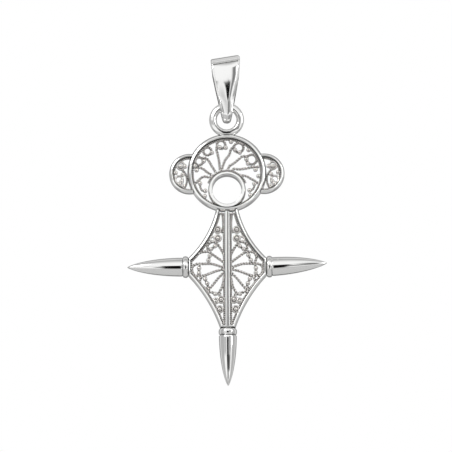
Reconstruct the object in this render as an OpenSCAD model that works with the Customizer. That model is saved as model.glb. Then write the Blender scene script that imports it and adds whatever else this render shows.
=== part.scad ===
// Tuareg cross pendant of filigree silver, hanging from a tapered bail.
// Millimetres, +Z up, front towards -Y. The origin is the seat of the chain, the inner top of the bail.

/* [Head] */
// Outer radius of the head's rim
head_r = 5.95; // [5.8:0.05:6.1]
// Width of the head's rim
head_rim_w = 0.62; // [0.5:0.02:0.7]
// Outer radius of the ring round the hole
centre_ring_r = 2.82; // [2.7:0.02:2.9]
// Width of the ring round the hole
centre_ring_w = 0.62; // [0.5:0.02:0.7]
// Outer radius of an ear
ear_r = 3.06; // [3.02:0.02:3.12]
// Width of an ear's rim
ear_rim_w = 0.47; // [0.4:0.02:0.55]

/* [Body] */
// Depth of the frame, front to back
frame_depth = 1.7; // [1.5:0.1:2]
// Width of the frame's strip
strip_w = 0.5; // [0.4:0.05:0.55]
// Distance from the middle to a side plate's outer face
side_reach = 5.85; // [5.8:0.05:5.9]
// Width of the bar down the middle
bar_w = 0.66; // [0.6:0.02:0.7]

/* [Collars and spikes] */
// Outer diameter of a side collar
collar_d = 3.25; // [3:0.05:3.5]
// Outer diameter of the bottom collar
bottom_collar_d = 2.75; // [2.6:0.05:3]
// Base diameter of a side spike
spike_d = 2.85; // [2.6:0.05:3]
// Length of a side spike
spike_l = 8.3; // [7:0.1:9.5]
// Base diameter of the bottom spike
bottom_spike_d = 2.68; // [2.5:0.02:2.8]
// Length of the bottom spike
bottom_spike_l = 7.55; // [6.5:0.05:9]
// Upward tilt of the right spike, in degrees
right_tilt = 3.5; // [0:0.5:4]

/* [Bail and top ring] */
// Thickness of the bail's strap at the top
strap_t = 0.75; // [0.6:0.05:0.85]
// Radius of the chain's seat
seat_r = 1.3; // [1.25:0.05:1.4]
// Slant of the strap's fold, in degrees
fold_skew = 9; // [0:1:10]
// Outer radius of the top ring
ring_r = 2.62; // [2.6:0.01:2.64]
// Thickness of the top ring's wire
ring_wire = 1.14; // [1.1:0.01:1.16]

/* [Filigree] */
// Depth of the filigree, front to back
filigree_depth = 0.5; // [0.4:0.05:0.6]
// Width of the twisted rays
ray_w = 0.40; // [0.34:0.01:0.42]
// Width of the scrolls and edge wires
scroll_w = 0.33; // [0.26:0.01:0.34]
// Diameter of a grain
grain_d = 0.66; // [0.62:0.01:0.7]

/* [Hidden] */
seam = 0.02;          // gap where two pieces are soldered
facets = 96;
small_facets = 16;    // small rings and grain beds of the filigree
wire_steps = 3;       // straight steps between two points of a filigree wire
solder_r = 0.02;      // solder fills the slots that are narrower than twice this

// Heights of the main centres.
ring_z = -8.83;
head_z = -17.01;
centre_ring_z = -19.62;
ear_x = 5.6;
ear_z = -17.13;
hub_z = -31.5;        // where the body's rays meet
axis_z = -31.28;      // axis of the side spikes
plate_top_z = -40.28; // bottom plate of the frame
plate_t = 0.28;

// The frame's hollowed sides are arcs whose centres lie outside it.
upper_arc = [16.08, -19.26, 14.79];   // x, z, radius of the strip's outer face
lower_arc = [21.69, -47.52, 21.69];

crest_steps = 8;      // flat facets of a rounded crest
grain_sink = 0.05;    // how far a grain's middle lies behind the filigree's front
bed_edge = 0.015;     // how far a grain's bed stands out round it

collar_w = 0.82;
bottom_collar_w = 1.10;
spike_bevel = 0.10;

// Bail: half-width of the strap at each height, top to tip.
bail_outline = [ // z, half_width
    [1.05, 1.80], [0.92, 2.02], [0.62, 2.17], [0.30, 2.20], [-1.95, 2.00], [-4.30, 1.56], [-6.65, 1.08],
    [-8.30, 0.76], [-8.95, 0.60], [-9.25, 0.42], [-9.40, 0.15],
];
bail_roll = -1.1;
strap_reach = 6;                            // longer than the strap is wide
bail_tip_r = 1.50;                          // seen from the side
bail_tip_z = -9.40;
wire_z = ring_z + ring_r - ring_wire / 2;   // middle of the ring's top wire, the swing axis
slot_r = 1.04;                              // inner radius of the fold's lower end
swing_r = 1.10;                             // room for the curved wire as it turns

// Filigree of the body's right half: u outward from the middle, w upward from the hub.
body_rays = [
    [[0.50, 2.00], [0.85, 2.70], [1.35, 3.50], [1.75, 3.92], [2.30, 4.00], [2.85, 3.65],
     [2.98, 3.15], [2.70, 2.50], [1.90, 1.90], [0.95, 1.20], [0.45, 0.80]],
    [[0.42, 0.05], [1.35, 0.40], [2.40, 0.68], [3.90, 0.70], [4.75, 0.62], [5.25, 0.20],
     [5.28, -0.40], [4.95, -1.00], [4.30, -1.14], [3.40, -1.05], [2.60, -0.75], [1.60, -0.38], [0.42, -0.12]],
    [[3.75, -1.15], [4.10, -1.70], [4.10, -2.20], [3.80, -2.65], [3.35, -2.98], [2.70, -2.95]],
    [[0.45, -0.55], [1.30, -1.40], [2.20, -2.50], [3.15, -3.60]],
    [[0.45, -0.80], [0.60, -1.90], [0.85, -2.90], [1.25, -3.60], [1.35, -4.10]],
    [[0.95, -3.95], [1.60, -3.85], [2.30, -3.65], [3.10, -3.48]],
];
body_closed_petal = [[2.70, 2.45], [3.25, 2.50], [3.95, 2.40], [4.30, 1.90], [4.30, 1.30], [3.95, 0.75]];
body_open_petal = [[2.55, 2.50], [3.10, 2.55], [3.70, 2.50], [4.45, 2.25]];
body_scrolls = [
    [[0.90, 8.45], [0.70, 8.00], [0.60, 6.80], [0.65, 5.85], [0.80, 5.50], [1.05, 5.65]],
    [[1.60, 3.75], [1.85, 3.35], [2.45, 2.90], [2.80, 2.75]],
    [[4.10, 0.65], [4.25, 0.00], [4.25, -0.70], [4.10, -1.10]],
    [[3.45, -1.10], [3.35, -1.62], [3.05, -2.30], [2.85, -2.90]],
];
body_closed_chord = [[3.00, 2.45], [3.15, 1.95], [3.50, 1.20], [3.55, 0.75]];
body_open_chord = [[2.60, 2.35], [2.69, 1.84], [2.82, 1.22], [2.75, 0.75]];
body_loops = [ // u, w, radius
    [1.43, 5.85, 0.45], [1.43, 4.55, 0.45], [2.20, 4.45, 0.35],
    [0.96, -4.75, 0.45], [1.80, -4.95, 0.35], [1.20, -6.20, 0.45],
];
body_grains = [ // u, w
    [1.43, 5.85], [1.43, 4.55], [1.85, 3.35], [2.45, 2.90], [4.25, 0.00], [4.25, -0.70],
    [3.35, -1.62], [3.05, -2.30], [1.85, -3.90], [0.96, -4.75], [1.85, -5.00], [1.20, -6.20],
];
body_closed_grains = [[3.15, 1.95], [3.50, 1.20]];
body_open_grains = [[2.64, 1.90], [2.84, 1.20]];

// Filigree of the head: u to the right and w upward from the rim's centre.
head_rays = [
    [[-2.10, -0.70], [-2.88, -0.56], [-3.54, -0.52], [-4.07, -0.88], [-4.59, -1.37], [-4.95, -1.75]],
    [[-2.15, -0.45], [-2.50, -0.10], [-2.97, 0.17], [-3.39, 0.55], [-3.84, 0.81], [-4.40, 0.91], [-5.08, 0.95]],
    [[-1.60, 0.00], [-1.85, 0.46], [-2.25, 1.07], [-2.58, 1.68], [-3.02, 2.24], [-3.65, 2.42]],
    [[-1.00, 0.30], [-1.17, 1.89], [-1.37, 2.91], [-1.53, 3.61], [-1.42, 4.37]],
    [[-0.85, 0.35], [-0.24, 2.01], [0.36, 2.77], [0.59, 3.53], [1.08, 4.12]],
    [[0.10, 0.40], [0.40, 1.10], [1.11, 1.55], [1.73, 2.07], [2.33, 2.54], [3.05, 2.55]],
    [[0.70, 0.38], [1.10, 0.65], [1.92, 0.59], [2.93, 0.73], [3.86, 0.90], [5.05, 0.95]],
    [[2.00, -0.30], [2.93, -0.47], [3.62, -0.87], [4.14, -1.16], [4.88, -1.68]],
];
head_scrolls = [
    [[-4.20, -1.00], [-4.04, -1.60], [-4.00, -2.10], [-3.80, -2.55], [-3.26, -2.78]],
    [[4.12, -1.60], [4.08, -2.10], [3.90, -2.45], [3.40, -2.72]],
];
head_loops = [ // u, w, radius
    [-4.16, 1.86, 0.60], [-2.90, 3.38, 0.60], [-0.84, 4.37, 0.62], [1.80, 3.90, 0.72], [3.74, 2.07, 0.75],
];
head_grains = [ // u, w
    [-4.04, -1.57], [-3.26, -2.71], [-3.36, -3.52], [-4.55, 0.45], [-4.78, 1.12], [-3.48, 1.83],
    [-2.25, 3.12], [-1.05, 3.93], [-0.17, 3.87], [0.65, 4.78], [1.25, 3.52], [1.95, 3.12],
    [3.29, 3.50], [2.94, 2.09], [3.17, 1.43], [4.30, 0.48], [4.75, -0.50], [4.12, -1.65],
    [3.40, -2.67], [3.52, -3.42],
];

// Filigree of an ear: u outward and w upward from the ear's centre.
ear_rays = [
    [[1.52, 0.75], [1.02, 0.56], [0.63, 0.08], [0.42, -0.61], [0.48, -1.48], [0.88, -2.28]],
];
ear_loops = [ // u, w, radius
    [1.32, 1.28, 0.55], [1.60, -0.84, 0.55],
];
ear_grains = [ // u, w
    [1.34, 1.16], [0.68, 1.14], [2.12, 0.18], [1.02, -0.08], [1.20, -1.14], [1.55, -1.52], [0.92, -1.84],
];

// A smooth curve through the points, with the same number of steps between each two.
function spline(p) = [
    for (i = [0 : len(p) - 2], s = [0 : wire_steps - 1])
        let (
            t = s / wire_steps,
            a = p[max(i - 1, 0)], b = p[i], c = p[i + 1], d = p[min(i + 2, len(p) - 1)]
        )
        b + 0.5 * t * ((c - a) + t * ((2 * a - 5 * b + 4 * c - d) + t * (3 * (b - c) + d - a))),
    p[len(p) - 1],
];
function side(p, i) =
    let (d = p[min(i + 1, len(p) - 1)] - p[max(i - 1, 0)])
    [-d.y, d.x] / norm(d);

// Flat wire of one width along a curve, seen from the front.
module wire(points, w) {
    p = spline(points);
    last = len(p) - 1;
    left = [for (i = [0 : last]) p[i] + side(p, i) * w / 2];
    right = [for (i = [last : -1 : 0]) p[i] - side(p, i) * w / 2];
    polygon(concat(left, right));
}

module loop_wires(loops, w) {
    for (l = loops) translate([l[0], l[1]]) difference() {
        circle(l[2] + w / 2, $fn = small_facets);
        circle(l[2] - w / 2, $fn = small_facets);
    }
}

// Small discs that the grains sit on.
module grain_beds(places) {
    for (g = places) translate(g) circle(d = grain_d + 2 * bed_edge, $fn = small_facets);
}

// A flat shape drawn as seen from the front, given its depth.
module plate(depth) {
    translate([0, depth / 2, 0]) rotate([90, 0, 0]) linear_extrude(depth) children();
}

// Filigree wires soldered to each other in one flat layer.
module soldered_layer() {
    plate(filigree_depth) offset(delta = -solder_r) offset(delta = solder_r) children();
}

// Edge wire just inside a round rim.
module edge_wire(r) {
    difference() {
        circle(r, $fn = facets);
        circle(r - scroll_w, $fn = facets);
    }
}

// Grains on the front of the filigree, sunk a little into their beds.
module grains(places) {
    for (g = places)
        translate([g[0], grain_sink - filigree_depth / 2, g[1]]) rotate([90, 0, 0])
            sphere(d = grain_d, $fn = 2 * small_facets);
}

// Section of a rim: flat sides and rounded crests. x is the radius, y the depth.
function crest(r, w, depth) = concat(
    [for (i = [0 : crest_steps]) let (a = 180 * i / crest_steps)
        [r + w / 2 * cos(a), depth / 2 - w / 2 + w / 2 * sin(a)]],
    [for (i = [0 : crest_steps]) let (a = 180 + 180 * i / crest_steps)
        [r + w / 2 * cos(a), -depth / 2 + w / 2 + w / 2 * sin(a)]]
);

module rim(r, w, depth) {
    rotate([90, 0, 0]) rotate_extrude($fn = facets) polygon(crest(r - w / 2, w, depth));
}

// A cylinder along the depth, to cut a piece to its neighbour.
module drum(r) {
    rotate([90, 0, 0]) cylinder(r = r, h = 3 * frame_depth, center = true, $fn = facets);
}

// Plan of the body seen from the front, with its strips and plates moved inward by the given widths.
module body_plan(strip, end_plate) {
    bottom = plate_top_z - plate_t + end_plate;
    reach = side_reach - end_plate;
    difference() {
        translate([-reach, bottom]) square([2 * reach, head_z - bottom]);
        for (side = [-1, 1], arc = [upper_arc, lower_arc])
            translate([side * arc[0], arc[1]]) circle(arc[2] + strip, $fn = 2 * facets);
    }
}

// Window right of the bar, shrunk by d.
module window_plan(d) {
    difference() {
        intersection() {
            body_plan(strip_w + d, plate_t + d);
            translate([bar_w / 2 + d, plate_top_z]) square([side_reach, head_z - plate_top_z]);
        }
        translate([0, head_z]) circle(head_r + d, $fn = facets);
    }
}

module at_side(side) {
    if (side > 0) children();
    else mirror([1, 0, 0]) children();
}

// Outline round two circles on the Z axis, as seen from the side.
function teardrop(r1, z1, r2, z2) =
    let (a = asin((r1 - r2) / (z1 - z2)), n = facets / 4)
    concat(
        [for (i = [0 : n]) let (t = -a + (180 + 2 * a) * i / n) [r1 * cos(t), z1 + r1 * sin(t)]],
        [for (i = [0 : n]) let (t = 180 + a + (180 - 2 * a) * i / n) [r2 * cos(t), z2 + r2 * sin(t)]]
    );

module strap_section() {
    difference() {
        polygon(teardrop(seat_r + strap_t, -seat_r, bail_tip_r, bail_tip_z + bail_tip_r));
        polygon(teardrop(seat_r, -seat_r, slot_r, wire_z));
    }
}

// Turns a piece about the swing axis' middle, in the picture plane.
module lean(angle) {
    translate([0, 0, wire_z]) rotate([0, angle, 0]) translate([0, 0, -wire_z]) children();
}

module bail() color("gainsboro") {
    difference() {
        intersection() {
            lean(-fold_skew) translate([-strap_reach / 2, 0, 0]) rotate([90, 0, 90])
                linear_extrude(strap_reach) strap_section();
            lean(bail_roll)
                plate(4 * seat_r) polygon(concat(
                    [for (row = bail_outline) [row[1], row[0]]],
                    [for (i = [len(bail_outline) - 1 : -1 : 0]) [-bail_outline[i][1], bail_outline[i][0]]]
                ));
        }
        translate([0, 0, wire_z]) rotate([0, 90, 0])
            cylinder(r = swing_r, h = strap_reach, center = true, $fn = facets);
    }
}

module top_ring() color("silver") {
    difference() {
        translate([0, 0, ring_z]) rotate([90, 0, 0]) rotate_extrude($fn = facets)
            translate([ring_r - ring_wire / 2, 0]) circle(d = ring_wire, $fn = facets / 2);
        translate([0, 0, head_z]) drum(head_r + seam);
    }
}

module head_rim() color("gainsboro") {
    difference() {
        translate([0, 0, head_z]) rim(head_r, head_rim_w, frame_depth);
        translate([0, 0, centre_ring_z]) drum(centre_ring_r + seam);
    }
}

module centre_ring() color("silver") {
    translate([0, 0, centre_ring_z]) rim(centre_ring_r, centre_ring_w, frame_depth + 0.2);
}

module head_filigree() color("lightgray") {
    hole_w = centre_ring_z - head_z;
    inner_r = head_r - head_rim_w - seam;
    translate([0, 0, head_z]) {
        soldered_layer() difference() {
            intersection() {
                circle(inner_r, $fn = facets);
                union() {
                    for (w = head_rays) wire(w, ray_w);
                    for (w = head_scrolls) wire(w, scroll_w);
                    loop_wires(head_loops, ray_w);
                    grain_beds(head_grains);
                    edge_wire(inner_r);
                    intersection() {
                        translate([0, hole_w]) circle(centre_ring_r + seam + scroll_w, $fn = facets);
                        translate([-head_r, -1.5]) square([2 * head_r, head_r]);
                    }
                }
            }
            translate([0, hole_w]) circle(centre_ring_r + seam, $fn = facets);
        }
        grains(head_grains);
    }
}

module ear_rim(side) color("gainsboro") {
    difference() {
        translate([side * ear_x, 0, ear_z]) rim(ear_r, ear_rim_w, frame_depth - 0.1);
        translate([0, 0, head_z]) drum(head_r + seam);
    }
}

module ear_filigree(side) color("lightgray") {
    inner_r = ear_r - ear_rim_w - seam;
    at_side(side) translate([ear_x, 0, ear_z]) {
        soldered_layer() difference() {
            union() {
                edge_wire(inner_r);
                for (w = ear_rays) wire(w, scroll_w);
                loop_wires(ear_loops, scroll_w);
                grain_beds(ear_grains);
            }
            translate([-ear_x, head_z - ear_z]) circle(head_r + seam, $fn = facets);
        }
        grains(ear_grains);
    }
}

module body_frame() color("gainsboro") {
    difference() {
        plate(frame_depth) difference() {
            body_plan(0, 0);
            body_plan(strip_w, plate_t);
        }
        translate([0, 0, head_z]) drum(head_r + seam);
    }
}

module centre_bar() color("silver") {
    difference() {
        translate([0, 0, plate_top_z + seam]) linear_extrude(head_z - plate_top_z)
            polygon(crest(0, bar_w, frame_depth));
        translate([0, 0, head_z]) drum(head_r + seam);
    }
}

// One half of the body's filigree. An open one has a wide gap beside its second petal.
module body_filigree(side, open) color("lightgray") {
    petal = open ? body_open_petal : body_closed_petal;
    chord = open ? body_open_chord : body_closed_chord;
    places = concat(body_grains, open ? body_open_grains : body_closed_grains);
    at_side(side) {
        soldered_layer() {
            difference() {
                window_plan(seam);
                window_plan(seam + scroll_w);
            }
            intersection() {
                window_plan(seam);
                translate([0, hub_z]) {
                    for (w = concat(body_rays, [petal])) wire(w, ray_w);
                    for (w = concat(body_scrolls, [chord])) wire(w, scroll_w);
                    loop_wires(body_loops, scroll_w);
                    grain_beds(places);
                }
            }
        }
        translate([0, 0, hub_z]) grains(places);
    }
}

// Disc with a half-round edge, standing on its first face.
module collar(d, w) {
    rotate_extrude($fn = facets) polygon(concat(
        [[0, 0]],
        [for (i = [0 : crest_steps]) let (a = -90 + 180 * i / crest_steps)
            [d / 2 - w / 2 + w / 2 * cos(a), w / 2 + w / 2 * sin(a)]],
        [[0, w]]
    ));
}

// Pointed finial with a slightly bulging side and a small bevel at its base.
module spike(d, l) {
    steps = 14;
    rotate_extrude($fn = facets) polygon(concat(
        [[0, 0], [d / 2 - spike_bevel, 0]],
        [for (i = [1 : steps]) let (a = 90 * i / steps) [d / 2 * pow(cos(a), 1.5), l * sin(a)]]
    ));
}

module side_collar(side) color("silver") {
    translate([side * (side_reach + seam), 0, axis_z]) rotate([0, side * 90, 0]) collar(collar_d, collar_w);
}

// A tilted spike is sunk and then cut flat, so that its base meets the collar all round.
module side_spike(side, tilt) color("gainsboro") {
    sunk = spike_d / 2 * sin(tilt);
    at_side(side) translate([side_reach + collar_w + 2 * seam, 0, axis_z]) difference() {
        rotate([0, 90 - tilt, 0]) translate([0, 0, -sunk]) spike(spike_d, spike_l);
        if (tilt > 0) translate([-spike_d, -spike_d, -spike_d]) cube([spike_d, 2 * spike_d, 2 * spike_d]);
    }
}

module bottom_collar() color("silver") {
    translate([0, 0, plate_top_z - plate_t - seam]) rotate([180, 0, 0]) collar(bottom_collar_d, bottom_collar_w);
}

module bottom_spike() color("gainsboro") {
    translate([0, 0, plate_top_z - plate_t - bottom_collar_w - 2 * seam])
        rotate([180, 0, 0]) spike(bottom_spike_d, bottom_spike_l);
}

bail();
top_ring();
head_rim();
centre_ring();
head_filigree();
ear_rim(-1);  // ear_rim_left
ear_rim(1);  // ear_rim_right
ear_filigree(-1);  // ear_filigree_left
ear_filigree(1);  // ear_filigree_right
body_frame();
centre_bar();
body_filigree(-1, true);  // body_filigree_left
body_filigree(1, false);  // body_filigree_right
side_collar(-1);  // collar_left
side_collar(1);  // collar_right
bottom_collar();  // collar_bottom
side_spike(-1, 0);  // spike_left
side_spike(1, right_tilt);  // spike_right
bottom_spike();  // spike_bottom
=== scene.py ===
"""Looks of a filigree silver Tuareg cross pendant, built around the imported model. Lengths are in millimetres until
a mesh is made, when they turn into metres."""

import math

import bmesh
import bpy
from mathutils import Matrix, Vector


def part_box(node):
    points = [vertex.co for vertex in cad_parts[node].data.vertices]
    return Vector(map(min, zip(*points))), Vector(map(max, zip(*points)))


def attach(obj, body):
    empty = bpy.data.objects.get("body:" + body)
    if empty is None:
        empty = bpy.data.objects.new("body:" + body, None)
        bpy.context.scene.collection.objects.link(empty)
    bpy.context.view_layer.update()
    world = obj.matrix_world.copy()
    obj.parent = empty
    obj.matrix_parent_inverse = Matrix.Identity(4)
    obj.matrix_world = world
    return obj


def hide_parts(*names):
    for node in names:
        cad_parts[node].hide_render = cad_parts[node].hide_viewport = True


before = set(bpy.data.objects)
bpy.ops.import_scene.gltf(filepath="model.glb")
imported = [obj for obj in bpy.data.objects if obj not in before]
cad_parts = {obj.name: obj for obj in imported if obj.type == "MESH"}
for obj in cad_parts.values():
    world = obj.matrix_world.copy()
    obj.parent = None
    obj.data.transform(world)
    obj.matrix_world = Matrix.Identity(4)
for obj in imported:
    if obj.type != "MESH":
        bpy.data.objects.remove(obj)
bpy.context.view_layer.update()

MM = 0.001
scene = bpy.context.scene
scene.view_settings.view_transform = "Standard"


def box_mm(node):
    """Lowest and highest corner of a node of the model."""
    low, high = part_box(node)
    return low / MM, high / MM


def round_size(node):
    """Radius, height of the middle and depth of a round piece that faces the front."""
    low, high = box_mm(node)
    return (high.x - low.x) / 2, (high.z + low.z) / 2, high.y - low.y


# Places and sizes taken from the model.
head_r, head_z, frame_depth = round_size("head_rim")
top_ring_r, _, top_ring_wire = round_size("top_ring")
top_ring_z = box_mm("top_ring")[1].z - top_ring_r
centre_ring_r, centre_ring_z, centre_ring_depth = round_size("centre_ring")
ear_low, ear_high = box_mm("ear_rim_right")
ear_r = (ear_high.z - ear_low.z) / 2
ear_x = ear_high.x - ear_r
ear_z = (ear_high.z + ear_low.z) / 2
ear_depth = ear_high.y - ear_low.y
side_reach = box_mm("body_frame")[1].x
frame_foot_z = box_mm("body_frame")[0].z

# Sizes that the model's boxes don't give.
HEAD_RIM_W = 0.62
CENTRE_RING_W = 0.62
EAR_RIM_W = 0.47
STRIP_W = 0.5         # the body frame's curved strips
BAR_W = 0.66
PLATE_T = 0.28        # the flat plates at the frame's three corners
HUB_Z = -31.5         # height of the point that the body's wirework is charted from
SEAM = 0.02           # gap between the wirework and what holds it
SOLDER_LAP = 0.1      # how far a soldered end runs into its neighbour
FILIGREE_DEPTH = 0.5
RAY_W = 0.40
SCROLL_W = 0.33
GRAIN_D = 0.66
GRAIN_SINK = 0.05     # how far a grain's middle lies behind the front of the wires
UPPER_ARC = (16.08, -19.26, 14.79)    # x, z and radius of the body's upper hollow side
LOWER_ARC = (21.69, -47.52, 21.69)    # the same of its lower one
swing_z = top_ring_z + top_ring_r - top_ring_wire / 2    # the hinge, in the ring's wire at its top


# Colours and nodes


def linear(hex_code):
    """An sRGB hex colour as the linear colour that a shader takes."""
    channels = [int(hex_code[i:i + 2], 16) / 255 for i in (0, 2, 4)]
    return tuple(c / 12.92 if c <= 0.04045 else ((c + 0.055) / 1.055) ** 2.4 for c in channels) + (1.0,)


SUM = "ShaderNodeMath"    # one step of arithmetic


def add(tree, kind, inputs=None, **settings):
    """Adds a node. Settings are its properties. Inputs go by name or number, and each takes a plain value, or a link
    from a socket or from the first output of a node."""
    node = tree.nodes.new(kind)
    for key, value in settings.items():
        setattr(node, key, value)
    for key, value in (inputs or {}).items():
        if isinstance(value, bpy.types.Node):
            value = value.outputs[0]
        if isinstance(value, bpy.types.NodeSocket):
            tree.links.new(value, node.inputs[key])
        else:
            node.inputs[key].default_value = value
    return node


# Materials. Their sizes are in millimetres too.


WAVE_SIZE = 2.2        # faint waves left by the buffing wheel
HAZE_SIZE = 1.6        # patches where the gloss is a little duller
HAIRLINE_SIZE = 0.12   # polishing marks: real ones are a few hundredths of a millimetre, too fine to show
HAIRLINE_STRETCH = 0.12    # their scale along the height, which draws them out
BRUSH_SIZE = 0.25      # marks of the wire brush on the filigree
PAPER_GRAIN = 2.5
FILM_WHOLE_AT = 0.28   # openness at which the painted shade in a crevice is still whole


def new_material(name):
    """A material with an empty tree, and the place on the piece for its patterns."""
    material = bpy.data.materials.new(name)
    material.use_nodes = True
    tree = material.node_tree
    tree.nodes.clear()
    return material, tree, add(tree, "ShaderNodeTexCoord").outputs["Object"]


def end_of_material(tree, inputs):
    shader = add(tree, "ShaderNodeBsdfPrincipled", inputs)
    add(tree, "ShaderNodeOutputMaterial", {"Surface": shader})


def crevice_film(tree, reach, dark, bright, clean_from, hidden=None, brushed=None):
    """Colour of the metal, with painted shade: bright where it is open, and painted dark in crevices, where a
    neighbour lies near and shade falls. reach is how near a neighbour must be, in millimetres, and clean_from the
    openness at which the painted shade is gone. hidden names an attribute that is 1 where the painted shade lies
    whatever the openness. brushed paints shade on the flanks too: how squarely a spot must face the front or the back
    for the painted shade to thin out, and to be gone."""
    # Painted shade in crevices: darker where the ambient occlusion finds a neighbour near.
    open_sky = add(tree, "ShaderNodeAmbientOcclusion", {"Distance": reach * MM}, samples=16).outputs["AO"]
    clean = add(tree, "ShaderNodeMapRange", {"Value": open_sky, "From Min": FILM_WHOLE_AT, "From Max": clean_from})
    if hidden:
        # The attribute marks where shade is painted whatever the openness.
        kept = add(tree, "ShaderNodeAttribute", attribute_name=hidden).outputs["Fac"]
        bare = add(tree, SUM, {0: 1.0, 1: kept}, operation="SUBTRACT")
        clean = add(tree, SUM, {0: clean, 1: bare}, operation="MULTIPLY")
    if brushed:
        # Painted shade on the flanks: spots that face sideways stay dark, and only those facing the front or the back
        # come out bright.
        facing = add(tree, "ShaderNodeSeparateXYZ", {"Vector": add(tree, "ShaderNodeTexCoord").outputs["Normal"]})
        square = add(tree, SUM, {0: facing.outputs["Y"]}, operation="ABSOLUTE")
        crown = add(tree, "ShaderNodeMapRange", {"Value": square, "From Min": brushed[0], "From Max": brushed[1]})
        clean = add(tree, SUM, {0: clean, 1: crown}, operation="MULTIPLY")
    return add(tree, "ShaderNodeMix", {"Factor": clean, 6: linear(dark), 7: linear(bright)},
               data_type="RGBA").outputs[2]


def polished_silver():
    """Rhodium-plated sterling silver, buffed by hand: a near mirror whose faint waves bend the reflections, with
    hairline polishing marks, a gloss duller in patches, and a dark line of painted shade in the grooves and seams."""
    material, tree, place = new_material("buffed rhodium silver")
    # Painted shade: near black in the grooves and seams, wherever a neighbour lies within 0.22 mm.
    colour = crevice_film(tree, 0.22, "1E1B19", "F6F6F5", 0.66)
    haze = add(tree, "ShaderNodeTexNoise",
               {"Vector": place, "Scale": 1 / (HAZE_SIZE * MM), "Detail": 3.0, "Roughness": 0.6})
    gloss = add(tree, "ShaderNodeMapRange", {"Value": haze.outputs["Fac"], "From Min": 0.3, "From Max": 0.75,
                                             "To Min": 0.05, "To Max": 0.11})
    waves = add(tree, "ShaderNodeTexNoise", {"Vector": place, "Scale": 1 / (WAVE_SIZE * MM), "Detail": 1.0})
    wave_bump = add(tree, "ShaderNodeBump",
                    {"Height": waves.outputs["Fac"], "Strength": 0.07, "Distance": 0.05 * MM})
    stretched = add(tree, "ShaderNodeMapping", {"Vector": place, "Scale": (1.0, 1.0, HAIRLINE_STRETCH)})
    hairlines = add(tree, "ShaderNodeTexNoise",
                    {"Vector": stretched, "Scale": 1 / (HAIRLINE_SIZE * MM), "Detail": 2.0})
    bump = add(tree, "ShaderNodeBump", {"Height": hairlines.outputs["Fac"], "Normal": wave_bump, "Strength": 0.1,
                                        "Distance": 0.004 * MM})
    end_of_material(tree, {"Base Color": colour, "Metallic": 1.0, "Roughness": gloss, "Normal": bump})
    return material


def filigree_silver():
    """Drawn and twisted silver wire, pickled and then worked with a wire brush after soldering: bright on its crowns,
    with painted shade, warm and dark, between the strands, beside the solder and on the flanks that face sideways."""
    material, tree, place = new_material("twisted silver wire")
    # Painted shade, warm and near black: in crevices within 0.30 mm, all over the core between the strands, and on
    # flanks that face sideways.
    colour = crevice_film(tree, 0.30, "241D19", "FAF7F4", 0.54, "between strands", (0.28, 0.52))
    brush = add(tree, "ShaderNodeTexNoise", {"Vector": place, "Scale": 1 / (BRUSH_SIZE * MM), "Detail": 3.0})
    gloss = add(tree, "ShaderNodeMapRange", {"Value": brush.outputs["Fac"], "From Min": 0.3, "From Max": 0.7,
                                             "To Min": 0.08, "To Max": 0.16})
    bump = add(tree, "ShaderNodeBump", {"Height": brush.outputs["Fac"], "Strength": 0.12, "Distance": 0.006 * MM})
    end_of_material(tree, {"Base Color": colour, "Metallic": 1.0, "Roughness": gloss, "Normal": bump})
    return material


def paper():
    """Seamless background paper: matt, pale, with a barely visible grain."""
    material, tree, place = new_material("pale paper")
    grain = add(tree, "ShaderNodeTexNoise", {"Vector": place, "Scale": 1 / (PAPER_GRAIN * MM), "Detail": 2.0})
    colour = add(tree, "ShaderNodeMix", {"Factor": grain.outputs["Fac"], 6: linear("E6E6E6"), 7: linear("EFEFEF")},
                 data_type="RGBA").outputs[2]
    end_of_material(tree, {"Base Color": colour, "Roughness": 0.9})
    return material


POLISHED = polished_silver()
WIRE_SILVER = filigree_silver()


# Meshes


SHARP_FROM = math.radians(28)    # a fold sharper than this keeps its edge
MERGE_WITHIN = 1e-7              # in metres


def placed(name, mesh, material):
    """An object at the origin, with its place in its mesh."""
    mesh.materials.append(material)
    piece = bpy.data.objects.new(name, mesh)
    scene.collection.objects.link(piece)
    return piece


def mesh_piece(name, points, faces, material):
    """A piece from points in millimetres and faces, with its doubles merged and its sharp folds marked."""
    mesh = bpy.data.meshes.new(name)
    mesh.from_pydata([Vector(p) * MM for p in points], [], faces)
    cleaned = bmesh.new()
    cleaned.from_mesh(mesh)
    bmesh.ops.remove_doubles(cleaned, verts=cleaned.verts, dist=MERGE_WITHIN)
    bmesh.ops.recalc_face_normals(cleaned, faces=cleaned.faces)
    cleaned.to_mesh(mesh)
    cleaned.free()
    mesh.shade_smooth()
    mesh.set_sharp_from_angle(angle=SHARP_FROM)
    return placed(name, mesh, material)


def evenly(start, end, steps):
    """Numbers from start to end at even steps, both included."""
    return [start + (end - start) * i / steps for i in range(steps + 1)]


def circle_path(u, w, r, start=0.0, end=math.tau, steps=64):
    return [(u + r * math.cos(a), w + r * math.sin(a)) for a in evenly(start, end, steps)]


def finish(piece, body, node):
    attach(piece, body)
    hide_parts(node)


def sweep(stations, closed):
    """Skins a row of sections, each a closed ring of points with the same count, and caps its ends if it is open."""
    count = len(stations[0])
    points = [p for ring in stations for p in ring]
    spans = len(stations) if closed else len(stations) - 1
    faces = []
    for i in range(spans):
        a, b = i * count, (i + 1) % len(stations) * count
        faces += [(a + k, a + (k + 1) % count, b + (k + 1) % count, b + k) for k in range(count)]
    if not closed:
        faces += [tuple(range(count)), tuple(range(len(points) - 1, len(points) - 1 - count, -1))]
    return points, faces


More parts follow.
